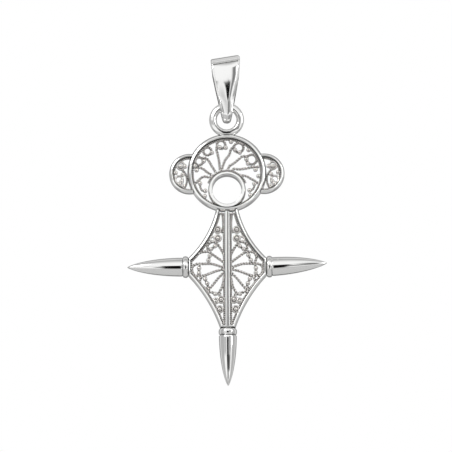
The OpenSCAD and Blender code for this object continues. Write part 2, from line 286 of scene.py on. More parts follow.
def lathe(profile, steps, place):
    """Turns a profile of (radius, height) pairs, from pole to pole, about an axis. place turns (x, y, height) into a
    point of the piece."""
    points, rows = [], []
    for radius, height in profile:
        turns = [0] if radius < 1e-6 else range(steps)
        rows.append([len(points) + i for i in range(len(turns))])
        for i in turns:
            a = math.tau * i / steps
            points.append(place(radius * math.cos(a), radius * math.sin(a), height))
    faces = []
    for low, high in zip(rows, rows[1:]):
        for i in range(steps):
            j = (i + 1) % steps
            ring = [low[i % len(low)], low[j % len(low)], high[j % len(high)], high[i % len(high)]]
            faces.append(tuple(dict.fromkeys(ring)))
    return points, faces


# Sections of rims and bars: rings of (across, depth) pairs, across running from the outer side inward


CREST_NEAR = math.radians(19)    # lean of a rim's crest beside its inner edge
CREST_FAR = math.radians(24)     # and beside its outer flank
FLANK_LEAN = math.radians(66)    # lean of the flank itself
CREST_STEPS = 6
EDGE_STEPS = 5
# Width of a rim's flank and of its inner edge.
HEAD_RIM_FORM = (0.28, 0.13)
EAR_RIM_FORM = (0.22, 0.11)
FRAME_FORM = (0.25, 0.12)
CENTRE_RING_FORM = (0.17, 0.15, 0.0, 0.0)    # with a level crest
BAR_CROWN = 0.06
BAR_EDGE = 0.08
BAR_LINE = (0.09, 0.07, 0.03)    # half-widths of the bar's chased line: just beside it, at its top, on its floor
BAR_LINE_DEPTH = 0.16


def rim_section(width, depth, flank, edge, near_lean=CREST_NEAR, far_lean=CREST_FAR):
    """Straight walls, and at the front and at the back a crest filed to lean outward, between a steep flank outside
    and a small round edge inside."""
    half, top = width / 2, depth / 2
    crest = width - flank - edge
    near, far = crest * math.tan(near_lean), crest * math.tan(far_lean)
    shares = evenly(0, 1, CREST_STEPS)
    drop = [near * share + (far - near) / 2 * share ** 2 for share in shares]
    front = [(half - flank * t, -top + drop[-1] + flank * (1 - t) * math.tan(FLANK_LEAN)) for t in (0, 0.5, 0.9)]
    front += [(half - flank - crest * (1 - share), -top + fall) for share, fall in zip(shares[::-1], drop[::-1])]
    front += [(-half + edge * (1 - math.sin(a)), -top + edge * (1 - math.cos(a)))
              for a in evenly(0, math.pi / 2, EDGE_STEPS)[1:]]
    return front + [(s, -d) for s, d in reversed(front)]


def bar_section(width, depth, line_at):
    """A straight bar: a low crown between two round edges, with a fine chased line at line_at."""
    top, span = depth / 2, width / 2 - BAR_EDGE
    front = [(span + BAR_EDGE * math.cos(a), -top + BAR_CROWN + BAR_EDGE * (1 - math.sin(a)))
             for a in evenly(0, math.pi / 2, EDGE_STEPS)[:-1]]
    beside, wall, floor = BAR_LINE
    across = evenly(span, line_at + beside, 4)[:-1]
    across += [line_at + x for x in (beside, wall, floor, -floor, -wall, -beside)]
    across += evenly(-span, line_at - beside, 4)[-2::-1]
    for x in across:
        chased = BAR_LINE_DEPTH if abs(x - line_at) < (wall + floor) / 2 else 0
        front.append((x, -top + BAR_CROWN * (x / span) ** 2 + chased))
    front += [(-s, d) for s, d in reversed(front[:EDGE_STEPS])]
    return front + [(s, -d) for s, d in reversed(front)]


def arc_rim(centre_x, centre_z, outer_r, width, section, start=0.0, end=math.tau, steps=160):
    """A rim or a stretch of one, seen from the front. Angles run from +X towards +Z."""
    closed = end - start > math.tau - 1e-6
    middle_r = outer_r - width / 2
    return sweep([[(centre_x + (middle_r + s) * math.cos(a), d, centre_z + (middle_r + s) * math.sin(a))
                   for s, d in section] for a in evenly(start, end, steps)[:steps if closed else None]], closed)


# Rims and rings


def crossing_angle(r, distance, other_r):
    """Angle, at the centre of a circle, of its crossing with another whose centre lies at a distance."""
    return math.acos((r * r + distance * distance - other_r * other_r) / (2 * r * distance))


def head_rim():
    section = rim_section(HEAD_RIM_W, frame_depth, *HEAD_RIM_FORM)
    return arc_rim(0, head_z, head_r, HEAD_RIM_W, section, steps=220)


def centre_ring():
    section = rim_section(CENTRE_RING_W, centre_ring_depth, *CENTRE_RING_FORM)
    return arc_rim(0, centre_ring_z, centre_ring_r, CENTRE_RING_W, section)


def ear_rim(side):
    opening = crossing_angle(ear_r, ear_x, head_r - SOLDER_LAP)
    section = rim_section(EAR_RIM_W, ear_depth, *EAR_RIM_FORM)
    points, faces = arc_rim(ear_x, ear_z, ear_r, EAR_RIM_W, section, opening - math.pi, math.pi - opening, 110)
    return [(side * x, y, z) for x, y, z in points], faces


RING_SECTION = [    # across the wire's width and depth, as shares of its radius, from the outer side inward
    (1.00, 0.00), (0.985, 0.17), (0.94, 0.34), (0.88, 0.47), (0.80, 0.59), (0.70, 0.69), (0.45, 0.80), (0.15, 0.92),
    (-0.12, 1.00), (-0.17, 1.00), (-0.20, 0.95), (-0.24, 0.74), (-0.31, 0.74), (-0.35, 0.94), (-0.39, 0.985),
    (-0.55, 0.93), (-0.72, 0.80), (-0.84, 0.62), (-0.93, 0.42), (-0.985, 0.17),
]


def top_ring():
    """Ring of wire with a filed outer face and a fine groove round its front and back, a little inside the crown."""
    wire_r = top_ring_wire / 2
    front = [(s * wire_r, -d * wire_r) for s, d in RING_SECTION]
    section = front + [(-wire_r, 0)] + [(s, -d) for s, d in reversed(front[1:])]
    return arc_rim(0, top_ring_z, top_ring_r, top_ring_wire, section, steps=120)


# Body frame


STRIP_STEPS = 40
EDGE_WIRE_STEPS = 60


def arc_point(arc, inset, x=None, z=None, angle=None):
    """Point of a hollow side's face, inset into the body: at an x, at a height or at an angle about its centre."""
    centre_x, centre_z, r = arc
    r += inset
    below = 1 if arc is LOWER_ARC else -1
    if x is not None:
        return (x, centre_z + below * math.sqrt(r * r - (centre_x - x) ** 2))
    if z is not None:
        return (centre_x - math.sqrt(r * r - (z - centre_z) ** 2), z)
    return (centre_x - r * math.cos(angle), centre_z + r * math.sin(angle))


def arc_angle(arc, inset, x=None, z=None):
    """Angle, about a hollow side's centre, at which its inset face comes to an x or to a height."""
    at_x, at_z = arc_point(arc, inset, x, z)
    return math.atan2(at_z - arc[1], arc[0] - at_x)


def head_crossing(arc, inset, reach):
    """Angle on a hollow side's face where it meets a circle about the head's centre."""
    centre_x, centre_z, r = arc
    away = math.hypot(centre_x, centre_z - head_z)
    tilt = math.atan2(head_z - centre_z, centre_x)
    return tilt - crossing_angle(r + inset, away, reach)


def side_faces(inset, plate, reach, steps):
    """A hollow side's upper and lower face, inset into the body: from a circle about the head to the side, and from
    there to the foot. plate is how far in from the frame's side and foot they end."""
    side_x, foot_z = side_reach - plate, frame_foot_z + plate
    ends = ((UPPER_ARC, head_crossing(UPPER_ARC, inset, reach), arc_angle(UPPER_ARC, inset, x=side_x)),
            (LOWER_ARC, arc_angle(LOWER_ARC, inset, x=side_x), arc_angle(LOWER_ARC, inset, z=foot_z)))
    return [[arc_point(arc, inset, angle=a) for a in evenly(start, end, steps)] for arc, start, end in ends]


def frame_pairs():
    """Outer and inner outline of the right half, from the head down to the foot, as pairs of points."""
    outer = side_faces(0, 0, head_r - SOLDER_LAP, STRIP_STEPS)
    inner = side_faces(STRIP_W, PLATE_T, head_r - SOLDER_LAP, STRIP_STEPS)
    return [pair for faces in zip(outer, inner) for pair in zip(*faces)]


def body_frame():
    right = frame_pairs()
    left = [((-o[0], o[1]), (-i[0], i[1])) for o, i in reversed(right)]
    stations = []
    for outer, inner in right + left:
        width = math.dist(outer, inner)
        section = rim_section(min(width, STRIP_W), frame_depth, *FRAME_FORM)
        stretch = width / min(width, STRIP_W)
        mid_x, mid_z = (outer[0] + inner[0]) / 2, (outer[1] + inner[1]) / 2
        across_x, across_z = (outer[0] - inner[0]) / width, (outer[1] - inner[1]) / width
        stations.append([(mid_x + stretch * s * across_x, d, mid_z + stretch * s * across_z) for s, d in section])
    return sweep(stations, False)


def centre_bar():
    """Bar with a fine chased line, which leans a little to the right."""
    foot_z = box_mm("centre_bar")[0].z - SEAM
    top_z = head_z - head_r + SOLDER_LAP
    places = ((foot_z, 0.0), ((foot_z + top_z) / 2, 0.02), (top_z, 0.09))
    return sweep([[(s, d, z) for s, d in bar_section(BAR_W, frame_depth, line_at)] for z, line_at in places], False)


# Collars and spikes


COLLAR_ROUND = 0.6    # power that flattens a collar's edge in the middle
SPIKE_BULGE = 1.5     # power that shapes a spike's side
SPIKE_BEVEL = 0.10
SPIKE_TILT = {"left": 0.0, "right": math.radians(3.5)}
COLLAR_FACETS = 72
SPIKE_FACETS = 96


def collar_profile(diameter, width, steps=20):
    """Disc with a round edge, a little flattened in the middle where it was rubbed most."""
    r, half = diameter / 2, width / 2
    edge = [(r - half + half * math.sin(a) ** COLLAR_ROUND, half - half * math.cos(a))
            for a in evenly(0, math.pi, steps)]
    return [(0, 0), *edge, (0, width)]


def spike_profile(diameter, length, steps=36):
    """Bulging side that runs out to a point, over a small bevel at the base."""
    r, bevel = diameter / 2, SPIKE_BEVEL
    side = [(r * math.cos(a) ** SPIKE_BULGE, length * math.sin(a)) for a in evenly(0, math.pi / 2, steps)[1:-1]]
    return [(0, 0), (r - bevel, 0), (r - bevel / 3, bevel / 3), (r, bevel),
            *[p for p in side if p[1] > 1.5 * bevel], (0, length)]


def outward(side, start_x, start_z, tilt=0.0):
    """Places a turned piece on an axis that points away from the body, level or tilted up."""
    c, s = math.cos(tilt), math.sin(tilt)
    return lambda x, y, h: (side * (start_x + h * c - x * s), y, start_z + h * s + x * c)


def downward(start_z):
    return lambda x, y, h: (x, y, start_z - h)


def side_collar_and_spike(side, word):
    """The shapes of a collar and of the spike beyond it, on one side."""
    low, high = box_mm("collar_" + word)
    start_x = min(abs(low.x), abs(high.x))
    width = high.x - low.x
    axis_z = (low.z + high.z) / 2
    collar = lathe(collar_profile(high.y - low.y, width), COLLAR_FACETS, outward(side, start_x, axis_z))
    low, high = box_mm("spike_" + word)
    tilt = SPIKE_TILT[word]
    diameter = high.y - low.y
    sunk = diameter / 2 * math.sin(tilt)
    base_x = start_x + width + SEAM
    length = (max(abs(low.x), abs(high.x)) - base_x) / math.cos(tilt) + sunk
    base = outward(side, base_x - sunk * math.cos(tilt), axis_z - sunk * math.sin(tilt), tilt)
    return collar, lathe(spike_profile(diameter, length), SPIKE_FACETS, base)


def lower_turned(node, profile, facets):
    low, high = box_mm(node)
    return lathe(profile(high.x - low.x, high.z - low.z), facets, downward(high.z))


# Bail. Its heights are measured from the chain's seat.


BAIL_OUTLINE = [   # height, half-width
    (1.05, 1.80), (0.92, 2.02), (0.62, 2.17), (0.30, 2.20), (-1.95, 2.00), (-4.30, 1.56), (-6.65, 1.08),
    (-8.30, 0.76), (-8.95, 0.60), (-9.25, 0.42), (-9.40, 0.15),
]
BAIL_ROLL = math.radians(-1.1)
FOLD_SKEW = math.radians(-9)
FOLD_REACH = (-6.0, -2.0)    # the skew begins and is whole at these heights
SEAT_R = 1.3
STRAP_T = 0.75
SLOT_R = 1.10
TIP_R = 1.50
TIP_Z = -9.40
BAND_FACET = (math.radians(38), math.radians(57))   # the fold is filed flat between these angles
BAIL_EDGE = 0.10        # rounding of the strap's left edge
EDGE_DROP = 0.03        # how far the strap's edges lie behind the border
BAIL_BEVEL = 0.30       # width of the bevel along its right edge
LEAST_BEVEL = 0.04      # and on the fold
BEVEL_REACH = (-0.6, 1.2)    # it widens between these depths below the seat
BEVEL_FALL = 0.80       # how far its middle drops, as a share of its width: its edge drops twice that
BAIL_BORDER = 0.24      # width of the plain border beside the panel
SIDE_LINE = 0.035       # depth and half-width of the fine line between them
PANEL_TOP = 0.0         # height where the panel begins, under the band along the fold
PANEL_ONSET = 0.14      # it takes on its form over this height
CROWN_ONSET = (-0.1, 1.5)    # and its crown between these depths below its top
PANEL_CROWN = 0.12      # how far the panel's edges lie behind its middle, as a share of its half-width
PANEL_CROWN_LOW = 0.33  # the same near its lower end
CROWN_REACH = (2.8, 7.0)     # it changes from one to the other between these depths
PANEL_BELLY_Z = -5.4    # the panel stands proudest at this height
PANEL_LEAN = 0.34       # how far back its top end lies
PANEL_RIDGE = 0.30      # where the panel stands proudest across, as a share of its half-width
RIDGE_POWER = (2, 1.25)      # its curve across is round above, and nearly a fold below
RIDGE_REACH = (5.4, 6.6)     # between these depths
GROOVE_DEPTH = 0.16     # of the chased line under the band
GROOVE_W = 0.11
GROOVE_Z = PANEL_TOP - 0.1
HOOK_TOP = (-0.05, 0.02)     # the line turns down at both ends, from these depths
HOOK_END = (0.10, 0.38)      # to these
HOOK_W = 0.05
PANEL_COLUMNS = [-1, -0.97, -0.94, -0.90, *(i / 10 for i in range(-8, 1)), 0.10, 0.18, 0.24, 0.28, 0.32, 0.36, 0.42,
                 *(i / 10 for i in range(5, 9)), 0.90, 0.94, 0.97, 1]


def bail_half_width(z):
    if z >= BAIL_OUTLINE[0][0]:
        return BAIL_OUTLINE[0][1]
    for (z1, w1), (z2, w2) in zip(BAIL_OUTLINE, BAIL_OUTLINE[1:]):
        if z >= z2:
            return w2 + (w1 - w2) * (z - z2) / (z1 - z2)
    return BAIL_OUTLINE[-1][1]


def smooth_step(low, high, value):
    t = min(max((value - low) / (high - low), 0), 1)
    return t * t * (3 - 2 * t)


def leaned(x, z, angle):
    c, s, h = math.cos(angle), math.sin(angle), z - swing_z
    return x * c + h * s, swing_z - x * s + h * c


def teardrop(r1, z1, r2, z2, arc_steps=180, side_steps=40):
    """Loop of (y, z) points round two circles on the vertical axis, with the same count for any sizes."""
    a = math.asin((r1 - r2) / (z1 - z2))
    top = circle_path(0, z1, r1, -a, math.pi + a, arc_steps)
    low = circle_path(0, z2, r2, math.pi + a, math.tau - a, arc_steps)
    loop = []
    for arc, start in ((top, low[0]), (low, top[0])):
        side = list(zip(*(evenly(here, there, side_steps) for here, there in zip(arc[-1], start))))
        loop += arc + side[1:-1]
    return loop


def strap_point(y, z, share, edge=0.0):
    """Point of the folded strap: share is -1 at its left edge and 1 at its right, edge is a distance in from it. A few
    rounds find its place across, because the width there depends on the height where the point ends up."""
    skew = FOLD_SKEW * smooth_step(*FOLD_REACH, z)
    along = 0.0
    for _ in range(5):
        x, own_z = leaned(along, z, skew)
        level_x, level_z = leaned(x, own_z, -BAIL_ROLL)
        half = bail_half_width(level_z)
        along += share * (half - min(edge, 0.8 * half)) - level_x
    return x, y, own_z


def filed_away(y, z):
    """How far the flat that is filed along the fold lies under its round."""
    start, end = BAND_FACET
    angle, middle = math.atan2(z + SEAT_R, abs(y)), (start + end) / 2
    if not start < angle < end:
        return 0.0
    return (SEAT_R + STRAP_T) * (1 - math.cos(middle - start) / math.cos(angle - middle))


def strap_columns(half, z, y):
    """One cross-section of the strap's outer face, left to right: (share, distance in from the edge, drop)."""
    under_top = PANEL_TOP - z
    formed = smooth_step(0, PANEL_ONSET, under_top)
    crown = PANEL_CROWN + (PANEL_CROWN_LOW - PANEL_CROWN) * smooth_step(*CROWN_REACH, -z)
    crown *= half * smooth_step(*CROWN_ONSET, under_top)
    lean = formed * PANEL_LEAN * (max(z - PANEL_BELLY_Z, 0) / (PANEL_TOP - PANEL_BELLY_Z)) ** 2
    power = RIDGE_POWER[0] + (RIDGE_POWER[1] - RIDGE_POWER[0]) * smooth_step(*RIDGE_REACH, -z)
    groove = GROOVE_DEPTH * math.exp(-((z - GROOVE_Z) / GROOVE_W) ** 2)
    hook = GROOVE_DEPTH * smooth_step(*HOOK_TOP, under_top) * (1 - smooth_step(*HOOK_END, under_top))
    # The border and the edges, narrower where the strap is.
    border = min(BAIL_BORDER, 0.28 * half)
    edge = min(BAIL_EDGE, 0.5 * border)
    bevel = max(min(BAIL_BEVEL, 0.7 * border) * smooth_step(*BEVEL_REACH, -z), LEAST_BEVEL)
    line = min(SIDE_LINE, 0.1 * half) * formed
    rim = crown + lean
    left = [(-1, edge * (1 - math.sin(a)), rim + EDGE_DROP + edge * (1 - math.cos(a)))
            for a in evenly(0, math.pi / 2, 4)[::-1]]
    left += [(-1, border, rim), (-1, border + SIDE_LINE, rim + line)]
    panel = []
    for s in PANEL_COLUMNS:
        corner = hook * math.exp(-((1 - abs(s)) / HOOK_W) ** 2)
        across = abs(s - PANEL_RIDGE * (1 - s * s)) ** power
        panel.append((s, border + 2 * SIDE_LINE, formed * crown * across + lean + max(groove, corner)))
    right = [(1, border + SIDE_LINE, rim + line), (1, border, rim)]
    right += [(1, bevel * (1 - t / 2), rim + EDGE_DROP + BEVEL_FALL * bevel * t) for t in (0, 1, 2)]
    filed = filed_away(y, z)
    return [(share, inward, drop + filed) for share, inward, drop in left + panel + right]


def bail():
    outer = teardrop(SEAT_R + STRAP_T, -SEAT_R, TIP_R, TIP_Z + TIP_R)
    inner = teardrop(SEAT_R, -SEAT_R, SLOT_R, swing_z)
    stations = []
    for (oy, oz), (iy, iz) in zip(outer, inner):
        thick = math.dist((oy, oz), (iy, iz))
        dy, dz = (iy - oy) / thick, (iz - oz) / thick
        ring = [strap_point(oy + dy * drop, oz + dz * drop, share, edge)
                for share, edge, drop in strap_columns(bail_half_width(oz), oz, oy)]
        ring += [strap_point(iy, iz, share) for share in (1, -1)]
        stations.append(ring)
    return sweep(stations, True)


# Filigree, charted as in the model: u to the side and w upward, in millimetres


BODY_RAYS = [
    [(0.50, 2.00), (0.85, 2.70), (1.35, 3.50), (1.75, 3.92), (2.30, 4.00), (2.85, 3.65),
     (2.98, 3.15), (2.70, 2.50), (1.90, 1.90), (0.95, 1.20), (0.45, 0.80)],
    [(0.42, 0.05), (1.35, 0.40), (2.40, 0.68), (3.90, 0.70), (4.75, 0.62), (5.25, 0.20),
     (5.28, -0.40), (4.95, -1.00), (4.30, -1.14), (3.40, -1.05), (2.60, -0.75), (1.60, -0.38), (0.42, -0.12)],
    [(3.75, -1.15), (4.10, -1.70), (4.10, -2.20), (3.80, -2.65), (3.35, -2.98), (2.70, -2.95)],
    [(0.45, -0.55), (1.30, -1.40), (2.20, -2.50), (3.15, -3.60)],
    [(0.45, -0.80), (0.60, -1.90), (0.85, -2.90), (1.25, -3.60), (1.35, -4.10)],
    [(0.95, -3.95), (1.60, -3.85), (2.30, -3.65), (3.10, -3.48)],
]
CLOSED_PETAL = [(2.70, 2.45), (3.25, 2.50), (3.95, 2.40), (4.30, 1.90), (4.30, 1.30), (3.95, 0.75)]
OPEN_PETAL = [(2.55, 2.50), (3.10, 2.55), (3.70, 2.50), (4.45, 2.25)]
BODY_SCROLLS = [
    [(0.90, 8.45), (0.70, 8.00), (0.60, 6.80), (0.65, 5.85), (0.80, 5.50), (1.05, 5.65)],
    [(1.60, 3.75), (1.85, 3.35), (2.45, 2.90), (2.80, 2.75)],
    [(4.10, 0.65), (4.25, 0.00), (4.25, -0.70), (4.10, -1.10)],
    [(3.45, -1.10), (3.35, -1.62), (3.05, -2.30), (2.85, -2.90)],
]
CLOSED_CHORD = [(3.00, 2.45), (3.15, 1.95), (3.50, 1.20), (3.55, 0.75)]
OPEN_CHORD = [(2.60, 2.35), (2.69, 1.84), (2.82, 1.22), (2.75, 0.75)]
BODY_LOOPS = [   # u, w, radius
    (1.43, 5.85, 0.45), (1.43, 4.55, 0.45), (2.20, 4.45, 0.35),
    (0.96, -4.75, 0.45), (1.80, -4.95, 0.35), (1.20, -6.20, 0.45),
]
BODY_GRAINS = [
    (1.43, 5.85), (1.43, 4.55), (1.85, 3.35), (2.45, 2.90), (4.25, 0.00), (4.25, -0.70),
    (3.35, -1.62), (3.05, -2.30), (1.85, -3.90), (0.96, -4.75), (1.85, -5.00), (1.20, -6.20),
]
CLOSED_GRAINS = [(3.15, 1.95), (3.50, 1.20)]
OPEN_GRAINS = [(2.64, 1.90), (2.84, 1.20)]

HEAD_RAYS = [
    [(-2.10, -0.70), (-2.88, -0.56), (-3.54, -0.52), (-4.07, -0.88), (-4.59, -1.37), (-4.95, -1.75)],
    [(-2.15, -0.45), (-2.50, -0.10), (-2.97, 0.17), (-3.39, 0.55), (-3.84, 0.81), (-4.40, 0.91), (-5.08, 0.95)],
    [(-1.60, 0.00), (-1.85, 0.46), (-2.25, 1.07), (-2.58, 1.68), (-3.02, 2.24), (-3.65, 2.42)],
    [(-1.00, 0.30), (-1.17, 1.89), (-1.37, 2.91), (-1.53, 3.61), (-1.42, 4.37)],
    [(-0.85, 0.35), (-0.24, 2.01), (0.36, 2.77), (0.59, 3.53), (1.08, 4.12)],
    [(0.10, 0.40), (0.40, 1.10), (1.11, 1.55), (1.73, 2.07), (2.33, 2.54), (3.05, 2.55)],
    [(0.70, 0.38), (1.10, 0.65), (1.92, 0.59), (2.93, 0.73), (3.86, 0.90), (5.05, 0.95)],
    [(2.00, -0.30), (2.93, -0.47), (3.62, -0.87), (4.14, -1.16), (4.88, -1.68)],
]
HEAD_SCROLLS = [
    [(-4.20, -1.00), (-4.04, -1.60), (-4.00, -2.10), (-3.80, -2.55), (-3.26, -2.78)],
    [(4.12, -1.60), (4.08, -2.10), (3.90, -2.45), (3.40, -2.72)],
]
HEAD_LOOPS = [   # u, w, radius
    (-4.16, 1.86, 0.60), (-2.90, 3.38, 0.60), (-0.84, 4.37, 0.62), (1.80, 3.90, 0.72), (3.74, 2.07, 0.75),
]
HEAD_GRAINS = [
    (-4.04, -1.57), (-3.26, -2.71), (-3.36, -3.52), (-4.55, 0.45), (-4.78, 1.12), (-3.48, 1.83),
    (-2.25, 3.12), (-1.05, 3.93), (-0.17, 3.87), (0.65, 4.78), (1.25, 3.52), (1.95, 3.12),
    (3.29, 3.50), (2.94, 2.09), (3.17, 1.43), (4.30, 0.48), (4.75, -0.50), (4.12, -1.65),
    (3.40, -2.67), (3.52, -3.42),
]

EAR_RAYS = [
    [(1.52, 0.75), (1.02, 0.56), (0.63, 0.08), (0.42, -0.61), (0.48, -1.48), (0.88, -2.28)],
]
EAR_LOOPS = [(1.32, 1.28, 0.55), (1.60, -0.84, 0.55)]   # u, w, radius
EAR_GRAINS = [(1.34, 1.16), (0.68, 1.14), (2.12, 0.18), (1.02, -0.08), (1.20, -1.14), (1.55, -1.52), (0.92, -1.84)]


def curve_through(points, steps=8):
    """A smooth curve through the charted points."""
    curve = []
    for i in range(len(points) - 1):
        a, b = Vector(points[max(i - 1, 0)]), Vector(points[i])
        c, d = Vector(points[i + 1]), Vector(points[min(i + 2, len(points) - 1)])
        for s in range(steps):
            t = s / steps
            curve.append(b + 0.5 * t * ((c - a) + t * ((2 * a - 5 * b + 4 * c - d) + t * (3 * (b - c) + d - a))))
    return [tuple(p) for p in curve] + [tuple(points[-1])]


# Geometry node trees


ROPE_STRANDS = 2
STRAND_SIDES = 8
CORE_SIDES = 6
STRAND_SHARE = 0.56    # width of a rope's strand, as a share of the rope's
CORE_SHARE = 0.60      # the same of its core
STRAND_SWELL = 1.14    # the strands' crowns stand out a little from the mean width that the model has
RAY_TURN = 0.86        # length of one full turn of a ray's strands
EDGE_TURN = 0.58       # the same of an edge wire
PLAIN_TURN = 1.0       # and of a plain wire's section
WIRE_STEP = 0.055      # spacing of the sections along a wire
GRAIN_RUB = 0.020      # how much is rubbed off a grain's top
GRAIN_TILT = math.radians(10)    # the rubbed tops look a little downward


def new_tree(name, sizes):
    """A tree that takes a geometry, named sizes in metres or as plain numbers, and a material."""
    tree = bpy.data.node_groups.new(name, "GeometryNodeTree")
    tree.interface.new_socket(name="Geometry", in_out="OUTPUT", socket_type="NodeSocketGeometry")
    kinds = {"Geometry": "NodeSocketGeometry", **dict.fromkeys(sizes, "NodeSocketFloat"),
             "Material": "NodeSocketMaterial"}
    for socket, kind in kinds.items():
        tree.interface.new_socket(name=socket, in_out="INPUT", socket_type=kind)
    return tree, add(tree, "NodeGroupInput").outputs


def end_of_tree(tree, shape, material):
    smooth = add(tree, "GeometryNodeSetShadeSmooth", {"Geometry": shape})
    real = add(tree, "GeometryNodeRealizeInstances", {"Geometry": smooth})
    done = add(tree, "GeometryNodeSetMaterial", {"Geometry": real, "Material": material})
    add(tree, "NodeGroupOutput", {"Geometry": done})


def wire_tree(name, strands):
    """Strands laid round each path and twisted together, then pressed or stretched along the depth. Where there are
    several, they lie round a core, which is marked so that the wire's material paints it dark as the shade between the
    strands."""
    tree, given = new_tree(name, ("Strand radius", "Lay radius", "Core radius", "Turn length", "Step",
                                  "Depth stretch"))
    path = add(tree, "GeometryNodeMeshToCurve", {"Mesh": given["Geometry"]})
    even = add(tree, "GeometryNodeResampleCurve", {"Curve": path, "Length": given["Step"]}, mode="LENGTH")
    upright = add(tree, "GeometryNodeSetCurveNormal", {"Curve": even}, mode="Z_UP")
    # A whole number of half turns on each wire, so that a closed one meets its own start.
    length = add(tree, "GeometryNodeSplineLength").outputs["Length"]
    turns = add(tree, SUM, {0: length, 1: given["Turn length"]}, operation="DIVIDE")
    half_turns = add(tree, SUM, {0: turns, 1: 2.0}, operation="MULTIPLY")
    whole = add(tree, SUM, {0: half_turns}, operation="ROUND")
    share = add(tree, "GeometryNodeSplineParameter").outputs["Factor"]
    turned = add(tree, SUM, {0: whole, 1: share}, operation="MULTIPLY")
    angle = add(tree, SUM, {0: turned, 1: math.pi}, operation="MULTIPLY")
    twisted = add(tree, "GeometryNodeSetCurveTilt", {"Curve": upright, "Tilt": angle})
    section = add(tree, "GeometryNodeJoinGeometry")
    for i in range(strands):
        circle = add(tree, "GeometryNodeCurvePrimitiveCircle",
                     {"Radius": given["Strand radius"], "Resolution": STRAND_SIDES})
        a = math.tau * i / strands
        spot = add(tree, "ShaderNodeVectorMath", {0: (math.cos(a), math.sin(a), 0.0), "Scale": given["Lay radius"]},
                   operation="SCALE")
        laid = add(tree, "GeometryNodeTransform", {"Geometry": circle, "Translation": spot})
        tree.links.new(laid.outputs["Geometry"], section.inputs["Geometry"])
    skin = add(tree, "GeometryNodeCurveToMesh", {"Curve": twisted, "Profile Curve": section, "Fill Caps": True})
    wire = add(tree, "GeometryNodeJoinGeometry", {"Geometry": skin})
    if strands > 1:
        round_core = add(tree, "GeometryNodeCurvePrimitiveCircle",
                         {"Radius": given["Core radius"], "Resolution": CORE_SIDES})
        core = add(tree, "GeometryNodeCurveToMesh",
                   {"Curve": upright, "Profile Curve": round_core, "Fill Caps": True})
        # The core is marked for painted shade between the strands.
        filmed = add(tree, "GeometryNodeStoreNamedAttribute",
                     {"Geometry": core, "Name": "between strands", "Value": 1.0})
        tree.links.new(filmed.outputs["Geometry"], wire.inputs["Geometry"])
    deep = add(tree, "ShaderNodeCombineXYZ", {"X": 1.0, "Y": 1.0, "Z": given["Depth stretch"]})
    pressed = add(tree, "GeometryNodeTransform", {"Geometry": wire, "Scale": deep})
    end_of_tree(tree, pressed, given["Material"])
    return tree


def grain_tree():
    """A small silver ball at each point, with the top rubbed flat by a little."""
    tree, given = new_tree("silver grains", ("Diameter", "Rubbed off"))
    half = add(tree, SUM, {0: given["Diameter"], 1: 0.5}, operation="MULTIPLY")
    ball = add(tree, "GeometryNodeMeshIcoSphere", {"Radius": half, "Subdivisions": 4})
    spot = add(tree, "ShaderNodeSeparateXYZ", {"Vector": add(tree, "GeometryNodeInputPosition")})
    top = add(tree, SUM, {0: half, 1: given["Rubbed off"]}, operation="SUBTRACT")
    low = add(tree, SUM, {0: spot.outputs["Z"], 1: top}, operation="MINIMUM")
    flat = add(tree, "ShaderNodeCombineXYZ", {"X": spot.outputs["X"], "Y": spot.outputs["Y"], "Z": low})
    rubbed = add(tree, "GeometryNodeSetPosition", {"Geometry": ball, "Position": flat})
    grains = add(tree, "GeometryNodeInstanceOnPoints",
                 {"Points": given["Geometry"], "Instance": rubbed, "Rotation": (GRAIN_TILT, 0.0, 0.0)})
    end_of_tree(tree, grains, given["Material"])
    return tree


ROPE = wire_tree("wires twisted together", ROPE_STRANDS)
ROUND_WIRE = wire_tree("plain round wire", 1)
GRAINS = grain_tree()


def grown(tree, points, edges, sizes):
    """The mesh that a tree makes from points and edges, in millimetres, drawn in the XY plane or a little over it."""
    base = bpy.data.meshes.new("chart")
    base.from_pydata([Vector(p).to_3d() * MM for p in points], edges, [])
    carrier = bpy.data.objects.new("chart", base)
    scene.collection.objects.link(carrier)
    modifier = carrier.modifiers.new("grow", "NODES")
    modifier.node_group = tree
    given = {**sizes, "Material": WIRE_SILVER}
    for item in tree.interface.items_tree:
        if item.in_out == "INPUT" and item.name in given:
            modifier[item.identifier] = given[item.name]
    bpy.context.view_layer.update()
    depsgraph = bpy.context.evaluated_depsgraph_get()
    mesh = bpy.data.meshes.new_from_object(carrier.evaluated_get(depsgraph), depsgraph=depsgraph)
    carrier.modifiers.remove(modifier)
    bpy.data.objects.remove(carrier)
    bpy.data.meshes.remove(base)
    return mesh


def grow_wires(paths, width=SCROLL_W, turn=EDGE_TURN, tree=ROPE):
    """Wires of a width along paths. A closed path ends where it starts."""
    points, edges = [], []
    for path in paths:
        first = len(points)
        closed = math.dist(path[0], path[-1]) < 1e-6
        own = path[:-1] if closed else path
        points += own
        edges += [(first + i, first + i + 1) for i in range(len(own) - 1)]
        if closed:
            edges.append((len(points) - 1, first))
    width *= STRAND_SWELL if tree is ROPE else 1
    strand_r = width / 2 * (STRAND_SHARE if tree is ROPE else 1)
    return grown(tree, points, edges, {
        "Strand radius": strand_r * MM, "Lay radius": (width / 2 - strand_r) * MM,
        "Core radius": CORE_SHARE * width / 2 * MM, "Turn length": turn * MM, "Step": WIRE_STEP * MM,
        "Depth stretch": FILIGREE_DEPTH / width})


def grow_grains(places):
    lift = FILIGREE_DEPTH / 2 - GRAIN_SINK
    return grown(GRAINS, [(u, w, lift) for u, w in places], [],
                 {"Diameter": GRAIN_D * MM, "Rubbed off": GRAIN_RUB * MM})


# Fields of filigree


HOLE_WIRE_FOOT = -1.5    # height over the head's middle where the wire round the hole ends


def sided(side, rows):
    """The charted rows on one side: u changes its sign on the left."""
    return [(side * row[0], *row[1:]) for row in rows]


